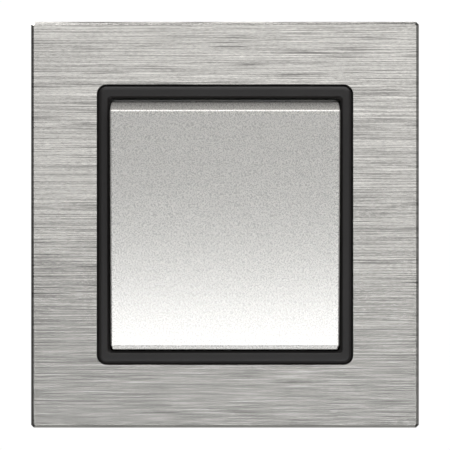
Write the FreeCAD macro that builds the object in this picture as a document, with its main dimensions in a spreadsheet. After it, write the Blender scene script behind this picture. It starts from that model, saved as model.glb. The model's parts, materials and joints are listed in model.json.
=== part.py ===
import FreeCAD, Part

# Flush rocker wall switch for a round 60 mm wall box: a parametric FreeCAD document.
#
# Frame of the part: +Z is up, +X is right as seen from the room, and the room is towards -Y.
# The origin is the centre of the switch on the wall's surface, so "front" below means the
# distance in front of the wall (-Y), and a negative front is inside the wall box.
# A sketch on the XZ plane has its normal along -Y, so its offset is that same distance.
#
# How it comes apart: the rocker cap pulls off the toggle, the aluminium plate with its plastic
# carrier and bezel ring pulls off the ears of the steel bridge, and the mechanism stays screwed
# or clawed into the wall box. The rocker is drawn with its lower end pressed in.

import math
import os

import Sketcher

DIMENSIONS = (
    # visible front
    ("plate_width", 82.1, "aluminium plate, outside"),
    ("plate_height", 85.95, "aluminium plate, outside"),
    ("plate_thickness", 2.0, "aluminium plate"),
    ("plate_front", 9.6, "front of the aluminium plate before the wall"),
    ("plate_bevel", 0.6, "cut edge round the plate's front and its corners"),
    ("window_width", 54.1, "opening in the plate"),
    ("window_height", 59.25, "opening in the plate"),
    ("window_radius", 2.0, "corner of that opening"),
    ("window_edge", 0.1, "cut edge round that opening"),
    ("ring_gap", 0.15, "between the plate's opening and the bezel ring"),
    ("ring_proud", 0.2, "bezel ring in front of the plate"),
    ("ring_edge", 1.0, "rounding of the ring's outer front edge"),
    ("ring_lip", 0.25, "rounding of the ring's inner front edge"),
    ("ring_corner", 0.9, "inner corners of the ring"),
    ("ring_width_inside", 48.8, "clear width inside the ring"),
    ("ring_height_inside", 53.6, "clear height inside the ring"),
    ("ring_flare", 0.45, "how much wider each side is at the front"),
    ("ring_flare_depth", 0.8, "depth of the flared mouth"),
    ("ring_flange", 1.7, "flange beyond the plate's opening"),
    ("ring_flange_thickness", 0.95, "flange"),
    ("ring_flange_play", 0.1, "between the plate and the flange"),
    ("ring_wall", 1.4, "collar behind the flange"),
    ("ring_collar_front", 1.5, "rear end of the collar before the wall"),
    # plate carrier
    ("tape_thickness", 0.25, "double-sided tape behind the plate"),
    ("tape_inset", 2.0, "tape inside the plate's edge"),
    ("carrier_inset", 0.6, "carrier inside the plate's edge"),
    ("carrier_web", 1.75, "front wall of the carrier"),
    ("carrier_wall", 1.8, "outer wall of the carrier"),
    ("carrier_corner", 1.0, "cut corners of the carrier"),
    ("carrier_play", 0.2, "play round the ring's flange"),
    ("flange_seat", 0.05, "between the flange and the carrier"),
    ("collar_gap", 1.0, "between the ring's collar and the carrier"),
    ("carrier_rim_wall", 1.4, "rim round the carrier's opening"),
    ("carrier_rim", 1.6, "depth of the rim round the carrier's opening"),
    ("carrier_rib", 1.2, "rib thickness"),
    ("carrier_rib_depth", 3.4, "rib depth"),
    ("carrier_rib_offset", 17.0, "ribs from the centre line"),
    ("snap_width", 8.0, "snap arm"),
    ("snap_thickness", 1.2, "snap arm"),
    ("snap_rear", 1.7, "end of the snap arm before the wall"),
    ("snap_gap", 0.4, "between an ear and a snap arm"),
    ("snap_barb", 0.9, "barb reaching into the ear's window"),
    ("snap_barb_side", 0.4, "beside the barb in the ear's window"),
    ("snap_barb_gap", 0.25, "behind and before the barb in that window"),
    # steel bridge
    ("bridge_size", 71.0, "square mounting bridge"),
    ("bridge_thickness", 1.2, "steel sheet"),
    ("bridge_radius", 4.0, "corner"),
    ("bridge_window_width", 33.0, "opening for the toggle"),
    ("bridge_window_height", 24.0, "opening for the toggle"),
    ("box_pitch", 60.0, "wall box screws, centre to centre"),
    ("slot_radius", 2.1, "half the width of a box screw slot"),
    ("slot_length", 6.0, "box screw slot, end to end"),
    ("corner_pitch", 54.0, "corner fixing holes, centre to centre"),
    ("corner_hole", 1.7, "radius of a corner fixing hole"),
    ("ear_width", 11.0, "ear bent forward from each side"),
    ("ear_front", 5.2, "front end of an ear"),
    ("ear_window_width", 6.4, "window in an ear"),
    ("ear_window_rear", 2.5, "window in an ear"),
    ("ear_window_height", 1.7, "window in an ear"),
    ("notch_width", 6.0, "ganging notch in the bridge's edge"),
    ("notch_depth", 1.6, "ganging notch in the bridge's edge"),
    ("notch_offset", 20.0, "ganging notch from the centre line"),
    # housing
    ("base_width", 39.0, "housing base, outside"),
    ("base_height", 40.0, "housing base, outside"),
    ("base_depth", 22.0, "housing base behind the wall's surface"),
    ("base_corner", 4.0, "cut corners of the base"),
    ("base_wall", 1.6, "side walls"),
    ("base_floor", 2.0, "rear wall"),
    ("boss_radius", 2.8, "screw bosses"),
    ("boss_x", 15.4, "screw boss position"),
    ("boss_z", 15.9, "screw boss position"),
    ("boss_hole", 1.0, "screw hole in a boss"),
    ("boss_gap", 0.6, "left in a boss below its screw"),
    ("base_bevel", 0.8, "cut rear edges of the base"),
    ("grip_rib", 0.5, "height of the ribs outside the base"),
    ("grip_width", 1.2, "outside rib"),
    ("grip_pitch", 3.6, "outside ribs, centre to centre"),
    ("grip_front", -4.0, "front end of an outside rib"),
    ("grip_rear", -19.0, "rear end of an outside rib"),
    ("gauge_width", 1.4, "stripping gauge, a groove in the rear wall"),
    ("gauge_length", 12.0, "stripping gauge"),
    ("gauge_depth", 0.6, "stripping gauge"),
    ("cover_width", 41.0, "housing cover"),
    ("cover_thickness", 1.6, "housing cover"),
    ("cover_window_height", 12.4, "opening for the toggle's sleeve"),
    ("cheek_inner", 15.95, "bearing cheeks, inner face"),
    ("cheek_outer", 18.2, "bearing cheeks, outer face"),
    ("cheek_height", 8.4, "bearing cheeks"),
    ("cheek_front", 6.0, "bearing cheeks"),
    ("screw_shank", 0.98, "housing screw"),
    ("screw_head", 2.2, "housing screw"),
    ("screw_head_thickness", 1.2, "housing screw"),
    ("screw_play", 0.2, "round a housing screw's shank"),
    ("recess_play", 0.15, "round the head of a screw or a rivet"),
    ("screw_length", 10.6, "housing screw under its head"),
    # rocker
    ("pivot_front", 3.3, "rocker's axis before the wall"),
    ("tilt", 5.5, "degrees the rocker leans each way"),
    ("cap_width", 48.3, "rocker cap"),
    ("cap_radius", 26.58, "curved ends of the cap, about its axis"),
    ("cap_edge_front", 12.4, "ends of the cap's face before the wall, upright"),
    ("cap_crown", 0.35, "bulge of the cap's face"),
    ("cap_wall", 1.5, "side walls of the cap"),
    ("cap_inner_front", 10.8, "inner face of the cap"),
    ("cap_rear", 5.6, "lower end of the cap's end walls"),
    ("cap_side_rear", 6.8, "lower end of the cap's side walls"),
    ("cap_side_length", 42.0, "length of that higher stretch"),
    ("cap_edge", 0.4, "rounding of the cap's edges"),
    ("lip_start", 24.67, "lip along the cap's lower end, where it leaves the face, from the middle"),
    ("lip_start_front", 12.396, "lip"),
    ("lip_low", 25.52, "lip's sloping face ends, from the middle"),
    ("lip_low_front", 12.235, "lip"),
    ("lip_end", 25.72, "lip's edge, from the middle"),
    ("lip_end_front", 12.0, "lip"),
    ("lip_rear", 8.9, "lip runs out in the end wall"),
    ("lip_rear_height", 25.9, "lip runs out in the end wall, from the middle"),
    ("lip_root", 25.2, "lip inside the end wall, from the middle"),
    ("cap_rib_offset", 8.0, "ribs inside the cap"),
    ("cap_rib_length", 28.0, "ribs inside the cap"),
    ("cap_rib", 1.2, "ribs inside the cap"),
    ("cap_seat", 0.05, "between those ribs and the toggle's deck"),
    ("clip_width", 8.0, "clip that holds the cap to the toggle"),
    ("clip_thickness", 1.4, "clip"),
    ("clip_rear", 5.3, "clip"),
    ("clip_barb", 0.9, "clip"),
    ("clip_gap", 0.3, "between a clip's leg and the deck"),
    ("clip_play", 0.1, "between a clip's barb and the deck"),
    # toggle
    ("deck_width", 31.0, "toggle deck"),
    ("deck_height", 26.0, "toggle deck"),
    ("deck_rear", 6.6, "toggle deck"),
    ("deck_thickness", 1.6, "toggle deck"),
    ("arm_thickness", 2.0, "toggle arm"),
    ("arm_height", 8.0, "toggle arm"),
    ("arm_rear", 1.5, "toggle arm"),
    ("toggle_web", 1.2, "web between the arms"),
    ("trunnion_radius", 1.6, "toggle trunnion"),
    ("trunnion_length", 2.1, "toggle trunnion"),
    ("trunnion_play", 0.05, "play in the cheek's bearing hole"),
    ("sleeve_radius", 3.6, "spring sleeve"),
    ("sleeve_bore", 2.5, "spring sleeve"),
    ("sleeve_rear", -5.2, "end of the spring sleeve"),
    ("sleeve_top", 5.4, "blind end of the sleeve's bore"),
    # plunger and spring
    ("plunger_radius", 2.4, "plunger in the sleeve"),
    ("plunger_top", -3.2, "front face of the plunger"),
    ("plunger_shoulder", -6.4, "end of its thick part"),
    ("plunger_tip_radius", 1.2, "round tip of the plunger"),
    ("plunger_reach", 12.45, "tip from the rocker's axis"),
    ("spigot_radius", 1.4, "pin inside the spring"),
    ("spigot_length", 1.6, "pin inside the spring"),
    ("spring_radius", 1.95, "mean radius of the toggle spring"),
    ("spring_wire", 0.22, "wire radius"),
    ("spring_pitch", 1.35, "toggle spring"),
    ("spring_seat", 0.05, "between an end of the spring and its seat"),
    # contacts
    ("blade_axis", -11.0, "axis of the rocking contact blade"),
    ("blade_tilt", 8.0, "degrees the blade leans each way"),
    ("blade_width", 6.0, "contact blade"),
    ("blade_length", 23.0, "contact blade"),
    ("blade_thickness", 0.8, "contact blade"),
    ("blade_corner", 0.9, "round corners of the blade"),
    ("blade_ear", 0.6, "side ears of the blade"),
    ("blade_ear_length", 3.2, "side ear"),
    ("blade_ear_drop", 0.6, "side ear behind the blade's axis"),
    ("ridge_radius", 0.98, "ridge that the blade rocks on"),
    ("ridge_inset", 0.1, "ridge inside the blade's width"),
    ("blade_play", 0.02, "between the ridge and the blade"),
    ("tip_radius", 1.7, "silver contact tip"),
    ("tip_dome", 3.14, "sphere of a moving tip"),
    ("tip_height", 0.9, "moving tip"),
    ("rivet_radius", 0.8, "shank of a contact rivet"),
    ("rivet_head", 1.3, "closed head of a contact rivet"),
    ("rivet_head_height", 0.3, "closed head of a contact rivet"),
    ("rivet_play", 0.02, "round a rivet's shank"),
    ("tip_offset", 10.0, "moving tip from the blade's centre"),
    ("fixed_tip_front", -12.36, "face of a fixed tip"),
    ("fixed_tip_height", 0.8, "fixed tip"),
    ("fixed_tip_offset", 10.3, "fixed tip from the centre"),
    ("strip_thickness", 0.8, "brass contact strips"),
    ("strip_width", 4.0, "fixed contact strip"),
    ("common_width", 6.0, "common contact strip"),
    ("busbar_x", 11.0, "inner face of a busbar"),
    ("busbar_rear", -18.4, "rear end of a busbar"),
    ("busbar_length", 9.0, "busbar of one terminal"),
    ("pedestal", 4.0, "posts under the strips"),
    # terminals
    ("wire_x", 13.3, "wire entry"),
    ("wire_z", 8.0, "wire entry"),
    ("wire_hole", 1.5, "radius of a wire entry"),
    ("wire_funnel", 0.5, "chamfer of a wire entry"),
    ("guide_radius", 2.0, "tube round a wire entry"),
    ("guide_length", 1.5, "tube inside the rear wall"),
    ("clamp_width", 4.6, "leaf spring"),
    ("clamp_thickness", 0.4, "leaf spring"),
    ("clamp_wall_gap", 0.05, "between a leaf spring and the side wall"),
    ("clamp_bar_gap", 0.1, "between its free end and the busbar"),
    ("clamp_root_front", -17.4, "fixed end of a leaf spring"),
    ("clamp_tip_front", -15.6, "its free end"),
    ("clamp_fold_front", -10.4, "its fold"),
    ("clamp_fold_drop", 0.9, "where the fold begins, behind its front"),
    ("clamp_fold_near", 0.5, "the fold's flat stretch, from the root"),
    ("clamp_fold_far", 1.2, "the fold's flat stretch, to the free leg"),
    ("pusher_width", 3.2, "release pusher"),
    ("pusher_height", 4.8, "release pusher"),
    ("pusher_x", 13.8, "release pusher"),
    ("pusher_play", 0.2, "play in the rear wall"),
    ("pusher_proud", 0.6, "pusher behind the rear wall"),
    ("wing_inner", 15.4, "pusher wing"),
    ("wing_outer", 17.2, "pusher wing"),
    ("wing_length", 20.0, "pusher wing"),
    ("wing_gap", 0.4, "wing above the floor"),
    ("wing_thickness", 1.6, "pusher wing"),
    ("horn_front", -13.9, "end of a pusher horn"),
    ("horn_width", 3.6, "pusher horn"),
    # claws
    ("claw_x", 26.2, "claw hinge"),
    ("claw_front", -3.2, "claw hinge"),
    ("claw_pin", 0.9, "radius of the claw pin"),
    ("claw_pin_length", 13.0, "claw pin"),
    ("pin_play", 0.05, "round the claw pin"),
    ("claw_barrel", 1.7, "radius of the claw's barrel"),
    ("claw_root", 1.0, "tail's front end behind the hinge, in the barrel"),
    ("claw_width", 9.2, "claw"),
    ("claw_sheet", 1.2, "claw"),
    ("claw_rear", -18.5, "end of the claw"),
    ("claw_tooth", 1.6, "tooth beyond the claw"),
    ("claw_tooth_width", 3.0, "tooth"),
    ("heel_end", 20.2, "end of the claw's heel"),
    ("heel_root", 1.3, "heel's root from the hinge, in the barrel"),
    ("heel_width", 5.2, "heel"),
    ("lug_thickness", 1.1, "bridge lug beside a claw"),
    ("lug_width", 3.2, "bridge lug"),
    ("lug_rear", -5.0, "bridge lug"),
    ("lug_gap", 0.2, "between lug and claw"),
    ("claw_screw_x", 21.4, "claw screw"),
    ("claw_screw_radius", 1.4, "claw screw"),
    ("claw_screw_tip", -3.15, "end of the claw screw"),
    ("claw_screw_head", 2.5, "claw screw head"),
    ("claw_head_rear", 3.9, "underside of the claw screw's head"),
    ("claw_head_thickness", 1.4, "claw screw head"),
    ("claw_head_gap", 0.5, "round that head in the cover"),
    ("thread_play", 0.05, "between the claw screw and its collar"),
    ("collar_radius", 1.8, "threaded collar behind the bridge"),
    ("collar_length", 1.4, "threaded collar behind the bridge"),
    ("driver_slot", 0.7, "width of a screw's slot"),
    ("driver_depth", 0.6, "depth of a screw's slot"),
    # used all over
    ("weld", 0.05, "overlap that joins two stretches of one piece"),
    ("past", 1.0, "how far a cut runs past the face that it opens"),
    ("round_flat", 0.01, "flat left at the middle of a rounded tip"),
)

doc = FreeCAD.newDocument("rocker_wall_switch")
sheet = doc.addObject("Spreadsheet::Sheet", "d")
for row, (alias, value, meaning) in enumerate(DIMENSIONS, start=1):
    sheet.set(f"A{row}", meaning)
    sheet.set(f"B{row}", str(value))
    sheet.setAlias(f"B{row}", alias)
doc.recompute()

VECTOR = FreeCAD.Vector
FRONT = "XZ_Plane"
SIDE = "YZ_Plane"
TOP = "XY_Plane"
ALL_PARTS = []
TOUCH = 0.01  # millimetres within which two places count as the same
LEAST_CUT = 1e-6  # cubic millimetres
SIGNS = ("", "-")


def size(alias):
    """A driving dimension as a number."""
    return float(sheet.get(alias))


# ---------------------------------------------------------------- sketch helpers
def polygon(*points):
    return ("polygon", points)


def rectangle(width, height, x="0", z="0"):
    left, right = f"({x})-({width})/2", f"({x})+({width})/2"
    low, high = f"({z})-({height})/2", f"({z})+({height})/2"
    return polygon((left, low), (right, low), (right, high), (left, high))


def cut_rectangle(width, height, cut):
    """A centred rectangle with its corners cut at 45 degrees."""
    x, z = f"({width})/2", f"({height})/2"
    quarter = ((f"{x}", f"{z}-({cut})"), (f"{x}-({cut})", f"{z}"))
    points = []
    for sx, sz, turned in ((1, 1, False), (-1, 1, True), (-1, -1, False), (1, -1, True)):
        pair = reversed(quarter) if turned else quarter
        points += [(f"{sx}*({px})", f"{sz}*({pz})") for px, pz in pair]
    return polygon(*points)


def circle(radius, x="0", z="0"):
    return ("circle", (radius, x, z))


def at(front):
    """The Y coordinate of a distance in front of the wall, for side and top sketches."""
    return f"-({front})"


def bind(sketch, constraint, expression):
    index = sketch.addConstraint(constraint)
    sketch.setExpression(f"Constraints[{index}]", expression)


def draw_polygon(sketch, points):
    count, first = len(points), sketch.GeometryCount
    around = [2 * math.pi * k / count for k in range(count)]
    start = [VECTOR(10 * math.cos(a), 10 * math.sin(a), 0) for a in around]
    for k in range(count):
        sketch.addGeometry(Part.LineSegment(start[k], start[(k + 1) % count]), False)
    for k in range(count):
        following = first + (k + 1) % count
        sketch.addConstraint(Sketcher.Constraint("Coincident", first + k, 2, following, 1))
    for k, (x, z) in enumerate(points):
        bind(sketch, Sketcher.Constraint("DistanceX", -1, 1, first + k, 1, start[k].x), x)
        bind(sketch, Sketcher.Constraint("DistanceY", -1, 1, first + k, 1, start[k].y), z)


def draw_circle(sketch, values):
    radius, x, z = values
    index = sketch.addGeometry(Part.Circle(VECTOR(1, 1, 0), VECTOR(0, 0, 1), 1.0), False)
    bind(sketch, Sketcher.Constraint("DistanceX", -1, 1, index, 3, 1.0), x)
    bind(sketch, Sketcher.Constraint("DistanceY", -1, 1, index, 3, 1.0), z)
    bind(sketch, Sketcher.Constraint("Radius", index, 1.0), radius)


def new_body(label):
    body = doc.addObject("PartDesign::Body", label)
    body.Label = label
    ALL_PARTS.append(body)
    return body


def new_sketch(body, plane, offset, shapes):
    """A sketch on one of the body's own origin planes, moved along its normal."""
    sketch = body.newObject("Sketcher::SketchObject", f"{body.Name}_sketch")
    support = [f for f in body.Origin.OriginFeatures if f.Role == plane][0]
    sketch.AttachmentSupport = [(support, "")]
    sketch.MapMode = "FlatFace"
    sketch.setExpression("AttachmentOffset.Base.z", offset)
    for kind, values in shapes:
        if kind == "polygon":
            draw_polygon(sketch, values)
        else:
            draw_circle(sketch, values)
    return sketch


def pad(body, shapes, start, length, plane=FRONT, both_ways=False):
    """Adds material from start along the plane's normal; both_ways is symmetric about it."""
    feature = body.newObject("PartDesign::Pad", f"{body.Name}_pad")
    feature.Profile = new_sketch(body, plane, start, shapes)
    feature.setExpression("Length", length)
    if both_ways:
        feature.SideType = "Symmetric"
    body.Tip = feature
    doc.recompute()
    return feature


def slab(body, shapes, rear, front):
    """Adds material between two distances in front of the wall."""
    return pad(body, shapes, rear, f"({front})-({rear})")


def pocket(body, shapes, start, length, plane=FRONT, both_ways=False):
    """Removes material from start against the plane's normal, and checks that it did."""
    before = body.Shape.Volume
    feature = body.newObject("PartDesign::Pocket", f"{body.Name}_pocket")
    feature.Profile = new_sketch(body, plane, start, shapes)
    feature.setExpression("Length", length)
    if both_ways:
        feature.SideType = "Symmetric"
    body.Tip = feature
    doc.recompute()
    if not body.Shape.Volume < before - LEAST_CUT:
        raise RuntimeError(f"a pocket in {body.Label} cuts nothing")
    return feature


def cut_slab(body, shapes, rear, front):
    """Removes material between two distances in front of the wall."""
    return pocket(body, shapes, front, f"({front})-({rear})")


def edges_where(body, wanted):
    """Names of the tip's edges for which wanted(edge) is true."""
    edges = body.Tip.Shape.Edges
    return [f"Edge{k + 1}" for k, edge in enumerate(edges) if wanted(edge)]


def dress(body, kind, property_name, expression, wanted):
    """A Fillet or Chamfer on the edges of the body's tip that wanted picks."""
    names = edges_where(body, wanted)
    if not names:
        raise RuntimeError(f"{body.Label} has no edge for its {kind}")
    base = body.Tip
    feature = body.newObject(f"PartDesign::{kind}", f"{body.Name}_{kind}")
    feature.Base = (base, names)
    feature.setExpression(property_name, expression)
    body.Tip = feature
    doc.recompute()
    return feature


def fillet(body, radius, wanted):
    return dress(body, "Fillet", "Radius", radius, wanted)


def chamfer(body, length, wanted):
    return dress(body, "Chamfer", "Size", length, wanted)


def near(value, target):
    return abs(value - target) < TOUCH


def along_y(edge):
    box = edge.BoundBox
    return box.XLength < TOUCH and box.ZLength < TOUCH


def lies_at_front(edge, front):
    """True if the whole edge is in the plane at that distance before the wall."""
    box = edge.BoundBox
    return near(box.YMin, -front) and near(box.YMax, -front)


def corner_at(edge, width, height):
    """True for an edge along Y at a corner of a centred width by height rectangle."""
    centre = edge.BoundBox.Center
    on_corner = near(abs(centre.x), width / 2) and near(abs(centre.z), height / 2)
    return along_y(edge) and on_corner


def inside_frame(edge, width, height):
    """True for an edge within a centred width by height rectangle, its border included."""
    box = edge.BoundBox
    reach_x, reach_z = max(-box.XMin, box.XMax), max(-box.ZMin, box.ZMax)
    return reach_x < width / 2 + TOUCH and reach_z < height / 2 + TOUCH


def on_outline(edge, width, height, cut):
    """True for an edge on the border of a centred rectangle with its corners cut."""
    centre = edge.BoundBox.Center
    x, z = abs(centre.x), abs(centre.z)
    return near(x, width / 2) or near(z, height / 2) or near(x + z, (width + height) / 2 - cut)


def turned(body, angle, centre_front):
    """Turns a body about the X direction; a positive angle presses its lower end in."""
    centre = VECTOR(0, -centre_front, 0)
    turn = FreeCAD.Rotation(VECTOR(1, 0, 0), angle)
    body.Placement = FreeCAD.Placement(VECTOR(0, 0, 0), turn, centre)


# ---------------------------------------------------------------- the visible front
def make_front_plate():
    """Brushed aluminium plate with bevelled edges and a rounded window."""
    body = new_body("front_plate")
    outside = cut_rectangle("d.plate_width", "d.plate_height", "d.plate_bevel")
    window = rectangle("d.window_width", "d.window_height")
    slab(body, [outside, window], "d.plate_front-d.plate_thickness", "d.plate_front")
    width, height = size("window_width"), size("window_height")
    fillet(body, "d.window_radius", lambda e: corner_at(e, width, height))
    front = size("plate_front")
    chamfer(body, "d.plate_bevel", lambda e: lies_at_front(e, front) and not inside_frame(e, width, height))
    chamfer(body, "d.window_edge", lambda e: lies_at_front(e, front) and inside_frame(e, width, height))


def make_bonding_tape():
    """Foam tape frame that holds the plate on its carrier."""
    body = new_body("bonding_tape")
    inner = "d.window_{0}+2*d.ring_flange+2*d.carrier_play+2*d.carrier_play"
    outer = rectangle("d.plate_width-2*d.tape_inset", "d.plate_height-2*d.tape_inset")
    hole = rectangle(inner.format("width"), inner.format("height"))
    plate_rear = "d.plate_front-d.plate_thickness"
    slab(body, [outer, hole], f"{plate_rear}-d.tape_thickness", plate_rear)


def ring_outer(extra="0"):
    """Bezel ring outline inside the plate's window, or larger by extra on each side."""
    grow = f"-2*d.ring_gap+2*({extra})"
    return rectangle(f"d.window_width{grow}", f"d.window_height{grow}")


def make_bezel_ring():
    """Anthracite ring: a rounded rim in the plate's window, a flange and a collar."""
    body = new_body("bezel_ring")
    hole = rectangle("d.ring_width_inside", "d.ring_height_inside")
    plate_rear = "d.plate_front-d.plate_thickness"
    flange_front = f"{plate_rear}-d.ring_flange_play"
    flange_rear = f"{flange_front}-d.ring_flange_thickness"
    ring_front = "d.plate_front+d.ring_proud"
    slab(body, [ring_outer(), hole], flange_front, ring_front)
    width = size("window_width") - 2 * size("ring_gap")
    height = size("window_height") - 2 * size("ring_gap")
    fillet(body, "d.window_radius-d.ring_gap", lambda e: corner_at(e, width, height))
    slab(body, [ring_outer("d.ring_flange"), hole], flange_rear, flange_front)
    collar = rectangle("d.ring_width_inside+2*d.ring_wall", "d.ring_height_inside+2*d.ring_wall")
    slab(body, [collar, hole], "d.ring_collar_front", flange_rear)
    mouth = body.newObject("PartDesign::SubtractiveLoft", "bezel_ring_mouth")
    mouth_rear = f"{ring_front}-d.ring_flare_depth"
    wide = rectangle("d.ring_width_inside+2*d.ring_flare", "d.ring_height_inside+2*d.ring_flare")
    mouth.Profile = new_sketch(body, FRONT, ring_front, [wide])
    mouth.Sections = [new_sketch(body, FRONT, mouth_rear, [hole])]
    mouth.Ruled = True
    body.Tip = mouth
    doc.recompute()
    front = size("plate_front") + size("ring_proud")
    hole_width, hole_height = size("ring_width_inside"), size("ring_height_inside")
    flare, flare_depth = size("ring_flare"), size("ring_flare_depth")

    mouth_width, mouth_height = hole_width + 2 * flare, hole_height + 2 * flare

    def on_lip(edge):
        return lies_at_front(edge, front) and inside_frame(edge, mouth_width, mouth_height)

    def inner_corner(edge):
        box = edge.BoundBox
        off_x = abs(abs(box.Center.x) - hole_width / 2)
        off_z = abs(abs(box.Center.z) - hole_height / 2)
        return max(off_x, off_z) < flare and box.YLength > flare_depth / 2

    fillet(body, "d.ring_corner", inner_corner)
    fillet(body, "d.ring_edge", lambda e: lies_at_front(e, front) and not on_lip(e))
    fillet(body, "d.ring_lip", on_lip)


def make_plate_carrier():
    """Black moulded frame behind the plate, with ribs and four snap arms."""
    body = new_body("plate_carrier")
    web_front = "d.plate_front-d.plate_thickness-d.tape_thickness"
    web_rear = f"{web_front}-d.carrier_web"
    outside = cut_rectangle("d.plate_width-2*d.carrier_inset", "d.plate_height-2*d.carrier_inset",
                            "d.carrier_corner")
    hollow = rectangle("d.plate_width-2*d.carrier_inset-2*d.carrier_wall",
                       "d.plate_height-2*d.carrier_inset-2*d.carrier_wall")
    room = "2*(d.ring_wall+d.collar_gap)"
    opening = rectangle(f"d.ring_width_inside+{room}", f"d.ring_height_inside+{room}")
    rim = rectangle(f"d.ring_width_inside+{room}+2*d.carrier_rim_wall",
                    f"d.ring_height_inside+{room}+2*d.carrier_rim_wall")
    slab(body, [outside, opening], web_rear, web_front)
    recess_rear = "d.plate_front-d.plate_thickness-d.ring_flange_play-d.ring_flange_thickness-d.flange_seat"
    cut_slab(body, [ring_outer("d.ring_flange+d.carrier_play")], recess_rear, web_front)
    slab(body, [outside, hollow], "0", web_rear)
    slab(body, [rim, opening], f"{web_rear}-d.carrier_rim", web_rear)
    inner = "d.ring_{0}_inside/2+d.ring_wall+d.collar_gap+d.carrier_rim_wall-d.weld"
    outer = "d.plate_{0}/2-d.carrier_inset-d.carrier_wall+d.weld"
    inner_x, inner_z = f"({inner.format('width')})", f"({inner.format('height')})"
    outer_x, outer_z = f"({outer.format('width')})", f"({outer.format('height')})"
    ribs = []
    for side in SIGNS:
        for offset in ("d.carrier_rib_offset", "-d.carrier_rib_offset"):
            middle_x = f"{side}({inner_x}+{outer_x})/2"
            middle_z = f"{side}({inner_z}+{outer_z})/2"
            ribs.append(rectangle(f"{outer_x}-{inner_x}", "d.carrier_rib", middle_x, offset))
            ribs.append(rectangle("d.carrier_rib", f"{outer_z}-{inner_z}", offset, middle_z))
    slab(body, ribs, f"{web_rear}-d.carrier_rib_depth", web_rear)
    arm_inner = "d.bridge_size/2+d.snap_gap"
    arm_middle = f"({arm_inner}+d.snap_thickness/2)"
    barb_middle = f"({arm_inner}-d.snap_barb/2+d.weld)"
    barb_width, barb_height = "d.ear_window_width-2*d.snap_barb_side", "d.snap_barb+2*d.weld"
    arms, barbs = [], []
    for side in SIGNS:
        arms.append(rectangle("d.snap_width", "d.snap_thickness", "0", f"{side}{arm_middle}"))
        arms.append(rectangle("d.snap_thickness", "d.snap_width", f"{side}{arm_middle}", "0"))
        barbs.append(rectangle(barb_width, barb_height, "0", f"{side}{barb_middle}"))
        barbs.append(rectangle(barb_height, barb_width, f"{side}{barb_middle}", "0"))
    slab(body, arms, "d.snap_rear", web_rear)
    slab(body, barbs, "d.ear_window_rear+d.snap_barb_gap",
         "d.ear_window_rear+d.ear_window_height-d.snap_barb_gap")


# ---------------------------------------------------------------- the rocker
def cap_profile(body, radius, rear, edge_front, crown, half_width):
    """Side view of the cap padded to its width: curved ends and a crowned face."""
    pivot = size("pivot_front")
    z_edge = math.sqrt(radius ** 2 - (edge_front - pivot) ** 2)
    z_rear = math.sqrt(radius ** 2 - (rear - pivot) ** 2)
    middle = (edge_front + rear) / 2
    z_middle = math.sqrt(radius ** 2 - (middle - pivot) ** 2)

    def spot(front, height):
        return VECTOR(-half_width, -front, height)

    edges = [
        Part.Arc(spot(rear, -z_rear), spot(middle, -z_middle), spot(edge_front, -z_edge)),
        Part.Arc(spot(edge_front, -z_edge), spot(edge_front + crown, 0), spot(edge_front, z_edge))
        if crown else Part.LineSegment(spot(edge_front, -z_edge), spot(edge_front, z_edge)),
        Part.Arc(spot(edge_front, z_edge), spot(middle, z_middle), spot(rear, z_rear)),
        Part.LineSegment(spot(rear, z_rear), spot(rear, -z_rear)),
    ]
    wire = Part.Wire([e.toShape() for e in edges])
    solid = Part.Face(wire).extrude(VECTOR(2 * half_width, 0, 0))
    feature = doc.addObject("Part::Feature", f"{body}_profile")
    feature.Shape = solid
    return feature


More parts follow.
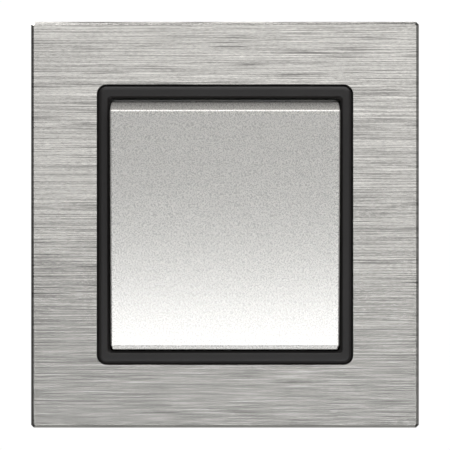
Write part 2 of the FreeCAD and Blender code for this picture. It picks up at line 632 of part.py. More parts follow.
def make_rocker_cap():
    """Silver rocker cap: a hollow shell whose curved ends stay clear of the ring."""
    radius, rear, edge = size("cap_radius"), size("cap_rear"), size("cap_edge_front")
    wall = size("cap_wall")
    outside = cap_profile("cap_outside", radius, rear, edge, size("cap_crown"), size("cap_width") / 2)
    inside = cap_profile("cap_inside", radius - wall, rear - size("past"), size("cap_inner_front"), 0,
                         size("cap_width") / 2 - wall)
    rounded = doc.addObject("Part::Fillet", "cap_rounded")
    rounded.Base = outside
    front_edges, corner = [], size("cap_edge")
    for k, e in enumerate(outside.Shape.Edges, start=1):
        box = e.BoundBox
        if box.YMax < -rear - TOUCH or (near(box.YMax, -rear) and box.YLength > wall):
            front_edges.append((k, corner, corner))
    rounded.Edges = front_edges
    doc.recompute()
    shell = doc.addObject("Part::Cut", "cap_shell")
    shell.Base, shell.Tool = rounded, inside
    doc.recompute()
    body = new_body("rocker_cap")
    base = body.newObject("PartDesign::FeatureBase", "cap_base")
    base.BaseFeature = shell
    body.Tip = base
    doc.recompute()
    pocket(body, [polygon((at("d.cap_side_rear"), "-d.cap_side_length/2"),
                          (at("d.cap_rear-d.past"), "-d.cap_side_length/2"),
                          (at("d.cap_rear-d.past"), "d.cap_side_length/2"),
                          (at("d.cap_side_rear"), "d.cap_side_length/2"))],
           "0", "d.cap_width+2*d.past", SIDE, both_ways=True)
    lip = polygon((at("d.lip_start_front"), "-d.lip_start"), (at("d.lip_low_front"), "-d.lip_low"),
                  (at("d.lip_end_front"), "-d.lip_end"), (at("d.lip_rear"), "-d.lip_rear_height"),
                  (at("d.lip_rear"), "-d.lip_root"), (at("d.cap_inner_front+d.weld"), "-d.lip_start"))
    pad(body, [lip], "0", "d.cap_width-2*d.cap_edge", SIDE, both_ways=True)
    ribs = [rectangle("d.cap_rib_length", "d.cap_rib", "0", f"{s}d.cap_rib_offset") for s in SIGNS]
    deck_front = "d.deck_rear+d.deck_thickness"
    slab(body, ribs, f"{deck_front}+d.cap_seat", "d.cap_inner_front+d.weld")
    leg_z = "(d.deck_height/2+d.clip_gap+d.clip_thickness/2)"
    legs = [rectangle("d.clip_width", "d.clip_thickness", "0", f"{s}{leg_z}") for s in SIGNS]
    slab(body, legs, "d.clip_rear", "d.cap_inner_front+d.weld")
    barb_z = "(d.deck_height/2+d.clip_gap-d.clip_barb/2+d.weld)"
    barbs = [rectangle("d.clip_width", "d.clip_barb+2*d.weld", "0", f"{s}{barb_z}") for s in SIGNS]
    slab(body, barbs, "d.clip_rear", "d.deck_rear-d.clip_play")
    turned(body, size("tilt"), size("pivot_front"))


def make_toggle():
    """White toggle: deck for the cap, two arms with trunnions, and the spring sleeve."""
    body = new_body("toggle")
    deck_front = "d.deck_rear+d.deck_thickness"
    slab(body, [rectangle("d.deck_width", "d.deck_height")], "d.deck_rear", deck_front)
    arm_x = "(d.deck_width/2-d.arm_thickness/2)"
    arms = [rectangle("d.arm_thickness", "d.arm_height", f"{s}{arm_x}") for s in SIGNS]
    slab(body, arms, "d.arm_rear", "d.deck_rear")
    for start in ("d.deck_width/2", "-d.deck_width/2-d.trunnion_length"):
        pin = [circle("d.trunnion_radius", at("d.pivot_front"), "0")]
        pad(body, pin, start, "d.trunnion_length", SIDE)
    slab(body, [circle("d.sleeve_radius")], "d.sleeve_rear", "d.deck_rear")
    web = rectangle("d.deck_width-2*d.arm_thickness", "d.toggle_web")
    slab(body, [web], "d.pivot_front", "d.deck_rear")
    cut_slab(body, [circle("d.sleeve_bore")], "d.sleeve_rear-d.past", "d.sleeve_top")
    turned(body, size("tilt"), size("pivot_front"))


def make_plunger():
    """Plunger that the spring presses on the contact blade."""
    body = new_body("plunger")
    slab(body, [circle("d.plunger_radius")], "d.plunger_shoulder", "d.plunger_top")
    slab(body, [circle("d.spigot_radius")], "d.plunger_top", "d.plunger_top+d.spigot_length")
    tip = "d.pivot_front-d.plunger_reach"
    slab(body, [circle("d.plunger_tip_radius")], tip, "d.plunger_shoulder")
    tip_front = size("pivot_front") - size("plunger_reach")
    fillet(body, "d.plunger_tip_radius-d.round_flat", lambda e: lies_at_front(e, tip_front))
    turned(body, size("tilt"), size("pivot_front"))


def make_toggle_spring():
    """Compression spring between the toggle's sleeve and the plunger."""
    helix = doc.addObject("Part::Helix", "toggle_spring_path")
    helix.setExpression("Radius", "d.spring_radius")
    helix.setExpression("Pitch", "d.spring_pitch")
    helix.setExpression("Height", "d.sleeve_top-d.plunger_top-2*(d.spring_wire+d.spring_seat)")
    wire = doc.addObject("Part::Circle", "toggle_spring_wire")
    wire.setExpression("Radius", "d.spring_wire")
    wire.setExpression("Placement.Base.x", "d.spring_radius")
    climb = math.degrees(math.atan(size("spring_pitch") / (2 * math.pi * size("spring_radius"))))
    wire.Placement.Rotation = FreeCAD.Rotation(VECTOR(1, 0, 0), 90 + climb)
    doc.recompute()
    spring = doc.addObject("Part::Sweep", "toggle_spring")
    spring.Label = "toggle_spring"
    spring.Sections = [wire]
    spring.Spine = (helix, ["Edge1"])
    spring.Solid, spring.Frenet = True, True
    doc.recompute()
    lowest = size("plunger_top") + size("spring_wire") + size("spring_seat")
    upright = FreeCAD.Placement(VECTOR(0, -lowest, 0), FreeCAD.Rotation(VECTOR(1, 0, 0), 90))
    lean = FreeCAD.Rotation(VECTOR(1, 0, 0), size("tilt"))
    centre = VECTOR(0, -size("pivot_front"), 0)
    spring.Placement = FreeCAD.Placement(VECTOR(0, 0, 0), lean, centre).multiply(upright)
    ALL_PARTS.append(spring)


# ---------------------------------------------------------------- contacts
def blade_front():
    """Front face of the contact blade when it is level."""
    return "(d.blade_axis+d.ridge_radius+d.blade_play+d.blade_thickness)"


def make_contact_blade():
    """Rocking brass blade with two side ears that keep it on its ridge."""
    body = new_body("contact_blade")
    front, rear = blade_front(), f"({blade_front()}-d.blade_thickness)"
    slab(body, [rectangle("d.blade_width", "d.blade_length")], rear, front)
    ear_x = "(d.blade_width/2+d.blade_ear/2)"
    ears = [rectangle("d.blade_ear", "d.blade_ear_length", f"{s}{ear_x}") for s in SIGNS]
    slab(body, ears, "d.blade_axis-d.blade_ear_drop", front)
    fillet(body, "d.blade_corner", lambda e: corner_at(e, size("blade_width"), size("blade_length")))
    holes = [circle("d.rivet_radius+d.rivet_play", "0", f"{s}d.tip_offset") for s in SIGNS]
    cut_slab(body, holes, rear, front)
    turned(body, -size("blade_tilt"), size("blade_axis"))


def contact_rivet(front, x, z, plate_thickness, face_up):
    """A contact rivet through a plate whose front is at the given distance before the wall.

    face_up puts the contact's face in front of the plate, otherwise behind it.
    """
    radius, height = size("tip_radius"), size("tip_height") if not face_up else size("fixed_tip_height")
    head_radius, head_height = size("rivet_head"), size("rivet_head_height")
    rear = front - plate_thickness
    backwards = VECTOR(0, 1, 0)

    def disc(disc_radius, disc_front, thickness):
        return Part.makeCylinder(disc_radius, thickness, VECTOR(x, -disc_front, z), backwards)

    shank = disc(size("rivet_radius"), front, plate_thickness)
    if face_up:
        face = disc(radius, front + height, height)
        head = disc(head_radius, rear, head_height)
    else:
        centre = VECTOR(x, -rear + height - size("tip_dome"), z)
        face = disc(radius, rear, height).common(Part.makeSphere(size("tip_dome"), centre))
        head = disc(head_radius, front + head_height, head_height)
    return shank.fuse([face, head])


def make_blade_tips():
    """Two silver rivets with domed faces behind the blade."""
    front = size("blade_axis") + size("ridge_radius") + size("blade_play") + size("blade_thickness")
    tips = doc.addObject("Part::Feature", "blade_tips")
    tips.Label = "blade_tips"
    tips.Shape = Part.makeCompound([
        contact_rivet(front, 0, side * size("tip_offset"), size("blade_thickness"), face_up=False)
        for side in (1, -1)])
    turned(tips, -size("blade_tilt"), size("blade_axis"))
    ALL_PARTS.append(tips)


def strip_rear():
    return "(d.fixed_tip_front-d.fixed_tip_height-d.strip_thickness)"


def strip_front():
    return "(d.fixed_tip_front-d.fixed_tip_height)"


def make_common_contact():
    """Brass part that carries the blade's ridge and the line terminal's busbar."""
    body = new_body("common_contact")
    right = "d.blade_width/2-d.ridge_inset"
    left = "-(d.busbar_x+d.strip_thickness)"
    half = "d.common_width/2"
    strip = polygon((left, f"-{half}"), (right, f"-{half}"), (right, half), (left, half))
    slab(body, [strip], strip_rear(), strip_front())
    post = rectangle("d.blade_width-2*d.ridge_inset", "2*d.ridge_radius")
    slab(body, [post], strip_front(), "d.blade_axis")
    pad(body, [circle("d.ridge_radius", at("d.blade_axis"), "0")], "0",
        "d.blade_width-2*d.ridge_inset", SIDE, both_ways=True)
    bar_x = "-(d.busbar_x+d.strip_thickness/2)"
    bar = rectangle("d.strip_thickness", "2*d.wire_z+d.busbar_length", bar_x)
    slab(body, [bar], "d.busbar_rear", strip_front())


def make_fixed_contact(label, side):
    """Brass strip from a fixed contact to its switched terminal; side is + up, - down."""
    body = new_body(label)
    outer = "(d.busbar_x+d.strip_thickness)"
    tip_z = f"{side}(d.fixed_tip_offset)"
    width = f"({outer}+d.strip_width/2)"
    strip = rectangle(width, "d.strip_width", f"{outer}-{width}/2", tip_z)
    slab(body, [strip], strip_rear(), strip_front())
    hole = circle("d.rivet_radius+d.rivet_play", "0", f"{side}d.fixed_tip_offset")
    cut_slab(body, [hole], strip_rear(), strip_front())
    bar_x = "d.busbar_x+d.strip_thickness/2"
    bar = rectangle("d.strip_thickness", "d.busbar_length", bar_x, f"{side}(d.wire_z)")
    slab(body, [bar], "d.busbar_rear", strip_front())


def make_fixed_tips():
    """Two flat silver rivets on the fixed strips."""
    front = size("fixed_tip_front") - size("fixed_tip_height")
    tips = doc.addObject("Part::Feature", "fixed_tips")
    tips.Label = "fixed_tips"
    tips.Shape = Part.makeCompound([
        contact_rivet(front, 0, side * size("fixed_tip_offset"), size("strip_thickness"), face_up=True)
        for side in (1, -1)])
    ALL_PARTS.append(tips)


def make_clamp_spring(label, side_x, side_z):
    """Stainless leaf that presses a wire against its busbar."""
    half = size("clamp_thickness") / 2
    outer = size("base_width") / 2 - size("base_wall") - half - size("clamp_wall_gap")
    inner = size("busbar_x") + size("strip_thickness") + half + size("clamp_bar_gap")
    fold_front = size("clamp_fold_front")
    path = ((outer, size("clamp_root_front")), (outer, fold_front - size("clamp_fold_drop")),
            (outer - size("clamp_fold_near"), fold_front), (outer - size("clamp_fold_far"), fold_front),
            (inner, size("clamp_tip_front")))
    low = side_z * size("wire_z") - size("clamp_width") / 2
    spots = [VECTOR(side_x * x, -front, low) for x, front in path]
    outline = Part.makePolygon(spots).makeOffset2D(half, 0, False, False)
    leaf = Part.Face(outline).extrude(VECTOR(0, 0, size("clamp_width")))
    feature = doc.addObject("Part::Feature", label)
    feature.Label = label
    feature.Shape = leaf
    ALL_PARTS.append(feature)


def make_release_pusher(label, side):
    """Pusher that opens the clamps of one side, with two wings and horns."""
    body = new_body(label)
    floor = "(-d.base_depth+d.base_floor)"
    wing_rear = f"({floor}+d.wing_gap)"
    wing_front = f"({wing_rear}+d.wing_thickness)"
    button = rectangle("d.pusher_width", "d.pusher_height", f"{side}d.pusher_x")
    slab(body, [button], "-d.base_depth-d.pusher_proud", wing_front)
    wing_x = f"{side}(d.wing_inner+d.wing_outer)/2"
    wing_width = "d.wing_outer-d.wing_inner"
    slab(body, [rectangle(wing_width, "d.wing_length", wing_x)], wing_rear, wing_front)
    horns = [rectangle(wing_width, "d.horn_width", wing_x, f"{s}d.wire_z") for s in SIGNS]
    slab(body, horns, wing_front, "d.horn_front")


# ---------------------------------------------------------------- housing
def screw_spots():
    return [(f"{sx}d.boss_x", f"{sz}d.boss_z") for sx in SIGNS for sz in SIGNS]


def shank_holes():
    """Clearance holes for the shanks of the housing screws."""
    return [circle("d.screw_shank+d.screw_play", x, z) for x, z in screw_spots()]


def make_housing_base():
    """Rear half of the mechanism: walls, bosses, wire entries and pusher windows."""
    body = new_body("housing_base")
    floor = "(-d.base_depth+d.base_floor)"
    slab(body, [cut_rectangle("d.base_width", "d.base_height", "d.base_corner")], "-d.base_depth", "0")
    cavity = cut_rectangle("d.base_width-2*d.base_wall", "d.base_height-2*d.base_wall",
                           "d.base_corner-(2-sqrt(2))*d.base_wall")
    cut_slab(body, [cavity], floor, "0")
    slab(body, [circle("d.boss_radius", x, z) for x, z in screw_spots()], floor, "0")
    wires = [(f"{sx}d.wire_x", f"{sz}d.wire_z") for sx in SIGNS for sz in SIGNS]
    slab(body, [circle("d.guide_radius", x, z) for x, z in wires], floor, f"{floor}+d.guide_length")
    posts = [rectangle("d.pedestal", "d.pedestal", "0", z)
             for z in ("0", "d.fixed_tip_offset", "-d.fixed_tip_offset")]
    slab(body, posts, floor, strip_rear())
    recesses = [circle("d.rivet_head+d.recess_play", "0", f"{s}d.fixed_tip_offset") for s in SIGNS]
    cut_slab(body, recesses, f"{strip_rear()}-d.rivet_head_height-d.recess_play", strip_rear())
    screw_end = "d.bridge_thickness+d.cover_thickness-d.screw_head_thickness-d.screw_length"
    cut_slab(body, [circle("d.boss_hole", x, z) for x, z in screw_spots()], f"{screw_end}-d.boss_gap", "0")
    cut_slab(body, [circle("d.wire_hole", x, z) for x, z in wires], "-d.base_depth",
             f"{floor}+d.guide_length+d.past")
    play = "2*d.pusher_play"
    windows = [rectangle(f"d.pusher_width+{play}", f"d.pusher_height+{play}", f"{s}d.pusher_x")
               for s in SIGNS]
    cut_slab(body, windows, "-d.base_depth", floor)
    rear = -size("base_depth")
    hole = size("wire_hole")
    chamfer(body, "d.wire_funnel", lambda e: lies_at_front(e, rear)
            and isinstance(e.Curve, Part.Circle) and near(e.Curve.Radius, hole))
    width, height, cut = size("base_width"), size("base_height"), size("base_corner")
    chamfer(body, "d.base_bevel", lambda e: lies_at_front(e, rear) and on_outline(e, width, height, cut))
    grips = []
    for side in SIGNS:
        z = f"{side}(d.base_height/2+d.grip_rib/2-d.weld)"
        for step in (-3, -2, -1, 1, 2, 3):
            grips.append(rectangle("d.grip_width", "d.grip_rib+2*d.weld", f"{step}*d.grip_pitch", z))
    slab(body, grips, "d.grip_rear", "d.grip_front")
    gauge = rectangle("d.gauge_width", "d.gauge_length")
    cut_slab(body, [gauge], "-d.base_depth", "-d.base_depth+d.gauge_depth")


def make_housing_cover():
    """Front half of the mechanism: a plate with two bearing cheeks for the toggle."""
    body = new_body("housing_cover")
    rear, front = "d.bridge_thickness", "(d.bridge_thickness+d.cover_thickness)"
    outside = cut_rectangle("d.cover_width", "d.base_height", "d.base_corner")
    window = rectangle("2*d.cheek_inner", "d.cover_window_height")
    slab(body, [outside, window], rear, front)
    cheek_x = "(d.cheek_inner+d.cheek_outer)/2"
    cheek_width = "d.cheek_outer-d.cheek_inner"
    cheeks = [rectangle(cheek_width, "d.cheek_height", f"{s}{cheek_x}") for s in SIGNS]
    slab(body, cheeks, rear, "d.cheek_front")
    bearing = [circle("d.trunnion_radius+d.trunnion_play", at("d.pivot_front"), "0")]
    pocket(body, bearing, "0", "d.cover_width+2*d.past", SIDE, both_ways=True)
    cut_rear, cut_front = "d.bridge_thickness-d.past", f"{front}+d.past"
    clearance = [circle("d.claw_screw_head+d.claw_head_gap", f"{s}d.claw_screw_x") for s in SIGNS]
    cut_slab(body, clearance, cut_rear, cut_front)
    cut_slab(body, shank_holes(), cut_rear, cut_front)
    cut_slab(body, [circle("d.screw_head+d.recess_play", x, z) for x, z in screw_spots()],
             f"{front}-d.screw_head_thickness", cut_front)


def make_housing_screws():
    """Four slotted screws that clamp cover, bridge and base together."""
    front = size("bridge_thickness") + size("cover_thickness")
    head, shank = size("screw_head"), size("screw_shank")
    thickness, length = size("screw_head_thickness"), size("screw_length")
    solids = []
    for sx in (1, -1):
        for sz in (1, -1):
            x, z = sx * size("boss_x"), sz * size("boss_z")
            top = Part.makeCylinder(head, thickness, VECTOR(x, -front, z), VECTOR(0, 1, 0))
            stem = Part.makeCylinder(shank, length, VECTOR(x, -front + thickness, z), VECTOR(0, 1, 0))
            slot = Part.makeBox(2 * head, size("driver_depth"), size("driver_slot"),
                                VECTOR(x - head, -front, z - size("driver_slot") / 2))
            solids.append(top.fuse(stem).cut(slot))
    screws = doc.addObject("Part::Feature", "housing_screws")
    screws.Label = "housing_screws"
    screws.Shape = Part.makeCompound(solids)
    ALL_PARTS.append(screws)


def make_mounting_bridge():
    """Zinc-plated steel bridge: slots, fixing holes, ears for the carrier, claw lugs."""
    body = new_body("mounting_bridge")
    sheet_front = "d.bridge_thickness"
    window = rectangle("d.bridge_window_width", "d.bridge_window_height")
    slab(body, [rectangle("d.bridge_size", "d.bridge_size"), window], "0", sheet_front)
    edge = size("bridge_size")
    fillet(body, "d.bridge_radius", lambda e: corner_at(e, edge, edge))
    cut_rear, cut_front = "-d.past", f"{sheet_front}+d.past"
    notches = []
    for side in SIGNS:
        reach = f"{side}(d.bridge_size/2)"
        for offset in ("d.notch_offset", "-d.notch_offset"):
            notches.append(rectangle("d.notch_width", "2*d.notch_depth", offset, reach))
            notches.append(rectangle("2*d.notch_depth", "d.notch_width", reach, offset))
    cut_slab(body, notches, cut_rear, cut_front)
    straight = "d.slot_length-2*d.slot_radius"
    cut_slab(body, [rectangle("2*d.slot_radius", straight, "0", f"{s}d.box_pitch/2") for s in SIGNS],
             cut_rear, cut_front)
    for end in ("+", "-"):
        centre = f"(d.box_pitch/2{end}({straight})/2)"
        cut_slab(body, [circle("d.slot_radius", "0", f"{s}{centre}") for s in SIGNS], cut_rear, cut_front)
    corners = [circle("d.corner_hole", f"{sx}d.corner_pitch/2", f"{sz}d.corner_pitch/2")
               for sx in SIGNS for sz in SIGNS]
    cut_slab(body, corners, cut_rear, cut_front)
    cut_slab(body, shank_holes(), cut_rear, cut_front)
    slab(body, [circle("d.collar_radius", f"{s}d.claw_screw_x") for s in SIGNS], "-d.collar_length", "0")
    threads = [circle("d.claw_screw_radius+d.thread_play", f"{s}d.claw_screw_x") for s in SIGNS]
    cut_slab(body, threads, "-d.collar_length-d.past", cut_front)
    lug_z = "(d.claw_width/2+d.lug_gap+d.lug_thickness/2)"
    lugs = [rectangle("d.lug_width", "d.lug_thickness", f"{sx}d.claw_x", f"{sz}{lug_z}")
            for sx in SIGNS for sz in SIGNS]
    slab(body, lugs, "d.lug_rear", "0")
    for side in SIGNS:
        pin = [circle("d.claw_pin", f"{side}d.claw_x", at("d.claw_front"))]
        pocket(body, pin, "0", "d.claw_pin_length+2*d.past", TOP, both_ways=True)
    ear = "(d.bridge_size/2-d.bridge_thickness/2)"
    for side in SIGNS:
        level = rectangle("d.ear_width", "d.bridge_thickness", "0", f"{side}{ear}")
        upright = rectangle("d.bridge_thickness", "d.ear_width", f"{side}{ear}", "0")
        slab(body, [level, upright], sheet_front, "d.ear_front")
    hole_rear, hole_front = "d.ear_window_rear", "d.ear_window_rear+d.ear_window_height"
    through = "d.bridge_size+2*d.past"
    half = "d.ear_window_width/2"
    pocket(body, [polygon((at(hole_rear), f"-{half}"), (at(hole_front), f"-{half}"),
                          (at(hole_front), half), (at(hole_rear), half))],
           "0", through, SIDE, both_ways=True)
    pocket(body, [polygon((f"-{half}", at(hole_rear)), (half, at(hole_rear)),
                          (half, at(hole_front)), (f"-{half}", at(hole_front)))],
           "0", through, TOP, both_ways=True)


# ---------------------------------------------------------------- claws
def make_claw_pin(label, side):
    pin = doc.addObject("Part::Cylinder", label)
    pin.Label = label
    pin.setExpression("Radius", "d.claw_pin")
    pin.setExpression("Height", "d.claw_pin_length")
    pin.setExpression("Placement.Base.x", f"{side}d.claw_x")
    pin.setExpression("Placement.Base.y", at("d.claw_front"))
    pin.setExpression("Placement.Base.z", "-d.claw_pin_length/2")
    ALL_PARTS.append(pin)


def make_claw(label, side):
    """Toothed claw on a barrel, with a heel that the claw screw pushes."""
    body = new_body(label)
    x = f"{side}d.claw_x"
    pad(body, [circle("d.claw_barrel", x, at("d.claw_front"))], "0", "d.claw_width", TOP, both_ways=True)
    tail = rectangle("d.claw_sheet", "d.claw_width", x)
    slab(body, [tail], "d.claw_rear", "d.claw_front-d.claw_root")
    tooth_x = f"{side}(d.claw_x+d.claw_sheet/2+d.claw_tooth/2-d.weld)"
    tooth_z = "(d.claw_width/2-d.claw_tooth_width/2)"
    teeth = [rectangle("d.claw_tooth+2*d.weld", "d.claw_tooth_width", tooth_x, f"{s}{tooth_z}")
             for s in SIGNS]
    slab(body, teeth, "d.claw_rear", "d.claw_rear+d.claw_sheet")
    heel_width = "(d.claw_x-d.heel_root-d.heel_end)"
    heel = rectangle(heel_width, "d.heel_width", f"{side}(d.heel_end+{heel_width}/2)")
    slab(body, [heel], "d.claw_front-d.claw_sheet", "d.claw_front")
    bore = [circle("d.claw_pin+d.pin_play", x, at("d.claw_front"))]
    pocket(body, bore, "0", "d.claw_width+2*d.past", TOP, both_ways=True)


def make_claw_screw(label, side):
    """Slotted screw with a round tip, threaded through the bridge's collar."""
    body = new_body(label)
    x = f"{side}d.claw_screw_x"
    slab(body, [circle("d.claw_screw_radius", x)], "d.claw_screw_tip", "d.claw_head_rear")
    tip = size("claw_screw_tip")
    fillet(body, "d.claw_screw_radius-d.round_flat", lambda e: lies_at_front(e, tip))
    head_front = "d.claw_head_rear+d.claw_head_thickness"
    slab(body, [circle("d.claw_screw_head", x)], "d.claw_head_rear", head_front)
    slot = rectangle("2*(d.claw_screw_head+d.past)", "d.driver_slot", x)
    cut_slab(body, [slot], f"{head_front}-d.driver_depth", head_front)


make_front_plate()
make_bonding_tape()
make_plate_carrier()
make_bezel_ring()
make_rocker_cap()
make_toggle()
make_toggle_spring()
make_plunger()
make_contact_blade()
make_blade_tips()
make_common_contact()
make_fixed_contact("fixed_contact_upper", "")
make_fixed_contact("fixed_contact_lower", "-")
make_fixed_tips()
for side_name, side_sign in (("left", -1), ("right", 1)):
    for row_name, row_sign in (("upper", 1), ("lower", -1)):
        make_clamp_spring(f"clamp_spring_{side_name}_{row_name}", side_sign, row_sign)
make_housing_base()
make_housing_cover()
make_housing_screws()
make_mounting_bridge()
for side_name, side_mark in (("left", "-"), ("right", "")):
    make_release_pusher(f"release_pusher_{side_name}", side_mark)
    make_claw_pin(f"claw_pin_{side_name}", side_mark)
    make_claw(f"claw_{side_name}", side_mark)
    make_claw_screw(f"claw_screw_{side_name}", side_mark)
doc.recompute()

failed = [o.Label for o in doc.Objects if "Invalid" in o.State or "Error" in o.State]
if failed:
    raise RuntimeError(f"these objects failed: {failed}")
os.makedirs("parts", exist_ok=True)
for item in ALL_PARTS:
    shape = item.Shape
    if shape.isNull() or not shape.isValid() or not shape.Solids:
        raise RuntimeError(f"{item.Label} has no valid solid")
    shape.exportStep(f"parts/{item.Label}.step")
    print(f"{item.Label}: {len(shape.Solids)} solid(s), {shape.Volume:.1f} mm3")
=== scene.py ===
import json
import math

import bmesh
import bpy
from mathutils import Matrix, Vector


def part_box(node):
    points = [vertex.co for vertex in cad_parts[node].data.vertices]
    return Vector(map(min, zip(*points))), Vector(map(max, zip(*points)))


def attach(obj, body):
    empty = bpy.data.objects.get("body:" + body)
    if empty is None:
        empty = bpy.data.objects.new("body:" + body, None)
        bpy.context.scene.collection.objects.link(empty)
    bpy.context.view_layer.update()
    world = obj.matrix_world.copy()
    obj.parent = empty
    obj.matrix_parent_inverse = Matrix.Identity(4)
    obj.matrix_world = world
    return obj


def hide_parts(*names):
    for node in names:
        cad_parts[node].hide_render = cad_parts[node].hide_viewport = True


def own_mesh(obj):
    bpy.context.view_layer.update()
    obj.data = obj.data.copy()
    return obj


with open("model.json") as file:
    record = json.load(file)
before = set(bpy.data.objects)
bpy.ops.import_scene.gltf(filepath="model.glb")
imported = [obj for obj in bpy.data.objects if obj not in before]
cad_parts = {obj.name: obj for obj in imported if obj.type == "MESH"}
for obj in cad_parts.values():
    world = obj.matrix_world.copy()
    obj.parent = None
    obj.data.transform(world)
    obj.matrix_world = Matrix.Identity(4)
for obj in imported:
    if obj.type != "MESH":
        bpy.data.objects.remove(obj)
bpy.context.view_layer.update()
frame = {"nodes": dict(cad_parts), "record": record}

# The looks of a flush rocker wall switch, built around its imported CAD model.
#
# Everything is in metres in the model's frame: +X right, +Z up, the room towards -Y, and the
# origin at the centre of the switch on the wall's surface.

MM = 0.001
WHITE = (1, 1, 1)
NODES = frame["nodes"]
SCENE = bpy.context.scene


# ---------------------------------------------------------------- node helpers
NOISE_LOW, NOISE_HIGH = 0.3, 0.7   # nearly all of a noise texture's values lie between these
MIX_FACTOR, MIX_FIRST, MIX_SECOND, MIX_RESULT = 0, 6, 7, 2   # a Mix node's sockets for colours


class Shader:
    """One procedural material: a Principled shader and the textures that feed it."""

    def __init__(self, name):
        self.material = bpy.data.materials.new(name)
        self.material.use_nodes = True
        self.tree = self.material.node_tree
        self.bsdf = self.tree.nodes["Principled BSDF"]
        self.place = self.tree.nodes.new("ShaderNodeTexCoord").outputs["Object"]

    def new(self, kind, **settings):
        node = self.tree.nodes.new(kind)
        for key, value in settings.items():
            setattr(node, key, value)
        return node

    def link(self, source, target):
        self.tree.links.new(source, target)

    def feed(self, value, target):
        """Puts a number, a colour or another node's output into an input."""
        if isinstance(value, tuple):
            target.default_value = (*value, 1.0)
        elif isinstance(value, (int, float)):
            target.default_value = value
        else:
            self.link(value, target)

    def set(self, **values):
        """Sets the shader's own inputs to values that are the same all over the surface."""
        for key, value in values.items():
            self.bsdf.inputs[key.replace("_", " ")].default_value = value
        return self

    def mapped(self, scale, shift=(0, 0, 0)):
        node = self.new("ShaderNodeMapping")
        node.inputs["Scale"].default_value = scale
        node.inputs["Location"].default_value = shift
        self.link(self.place, node.inputs["Vector"])
        return node.outputs["Vector"]

    def noise(self, scale, detail=2.0, rough=0.5, shift=(0, 0, 0), distortion=0.0):
        """Noise whose cells measure 1/scale metres along each axis."""
        node = self.new("ShaderNodeTexNoise")
        node.inputs["Scale"].default_value = 1.0
        node.inputs["Detail"].default_value = detail
        node.inputs["Roughness"].default_value = rough
        node.inputs["Distortion"].default_value = distortion
        self.link(self.mapped(scale, shift), node.inputs["Vector"])
        return node.outputs["Fac"]

    def cells(self, scale):
        """Distance to the middle of the nearest cell; cells measure about 1/scale metres."""
        node = self.new("ShaderNodeTexVoronoi")
        node.inputs["Scale"].default_value = 1.0
        self.link(self.mapped(scale), node.inputs["Vector"])
        return node.outputs["Distance"]

    def spread(self, value, low, high, to_low=0.0, to_high=1.0):
        """Maps low..high to to_low..to_high, clamped."""
        node = self.new("ShaderNodeMapRange")
        for key, number in (("From Min", low), ("From Max", high),
                            ("To Min", to_low), ("To Max", to_high)):
            node.inputs[key].default_value = number
        self.link(value, node.inputs["Value"])
        return node.outputs["Result"]

    def math(self, operation, first, second):
        node = self.new("ShaderNodeMath", operation=operation)
        self.feed(first, node.inputs[0])
        self.feed(second, node.inputs[1])
        return node.outputs["Value"]

    def weighted(self, *parts):
        """The sum of textures, each multiplied by its weight."""
        total = None
        for value, weight in parts:
            part = self.math("MULTIPLY", value, weight)
            total = part if total is None else self.math("ADD", total, part)
        return total

    def blend(self, factor, first, second):
        """Mixes two colours; each is a tuple or a socket."""
        node = self.new("ShaderNodeMix", data_type="RGBA")
        self.feed(factor, node.inputs[MIX_FACTOR])
        self.feed(first, node.inputs[MIX_FIRST])
        self.feed(second, node.inputs[MIX_SECOND])
        return node.outputs[MIX_RESULT]

    def colour(self, socket):
        self.link(socket, self.bsdf.inputs["Base Color"])

    def roughness(self, value, low, high):
        """Roughness that follows a noise texture between two limits."""
        spread = self.spread(value, NOISE_LOW, NOISE_HIGH, low, high)
        self.link(spread, self.bsdf.inputs["Roughness"])

    def bump(self, height, distance, strength):
        """Relief of the given depth in metres."""
        node = self.new("ShaderNodeBump")
        node.inputs["Distance"].default_value = distance
        node.inputs["Strength"].default_value = strength
        self.link(height, node.inputs["Height"])
        self.link(node.outputs["Normal"], self.bsdf.inputs["Normal"])


# ---------------------------------------------------------------- materials
def brushed_aluminium():
    """Sheet brushed from side to side, with long fine streaks that soften near the lower edge."""
    dull, bright = (0.36, 0.352, 0.335), (1.0, 0.977, 0.930)
    band, scratched, even = (0.52, 0.508, 0.483), (0.16, 0.156, 0.149), (0.72, 0.703, 0.668)
    soft_below, soft_above = -36 * MM, -12 * MM
    s = Shader("brushed_aluminium").set(Metallic=1.0)
    long_lines = s.noise((20, 300, 7500), detail=1.0)
    hairs = s.noise((95, 300, 9500), detail=1.0, shift=(3.1, 0, 7.7))
    short_hairs = s.noise((900, 300, 9500), detail=1.0, rough=0.8, shift=(6.3, 0, 1.9))
    bands = s.noise((6, 40, 420), detail=1.0, shift=(1.7, 0, 2.2))
    scratch = s.noise((70, 300, 9000), detail=1.0, shift=(9.4, 0, 1.3))
    cluster = s.noise((16, 90, 520), detail=1.0, shift=(5.2, 0, 3.8))
    streaks = s.weighted((long_lines, 0.40), (hairs, 0.34), (short_hairs, 0.26))
    tone = s.blend(s.spread(streaks, 0.40, 0.60), dull, bright)
    tone = s.blend(s.spread(bands, 0.35, 0.65, 0.0, 0.16), tone, band)
    lines = s.math("MULTIPLY", s.spread(scratch, 0.56, 0.64),
                   s.spread(cluster, 0.42, 0.60, 0.10, 0.90))
    tone = s.blend(lines, tone, scratched)
    height = s.new("ShaderNodeSeparateXYZ")
    s.link(s.place, height.inputs["Vector"])
    soften = s.spread(height.outputs["Z"], soft_below, soft_above, 0.50, 0.0)
    s.colour(s.blend(soften, tone, even))
    s.roughness(hairs, 0.17, 0.27)
    s.bump(streaks, distance=5e-6, strength=1.0)
    return s.material


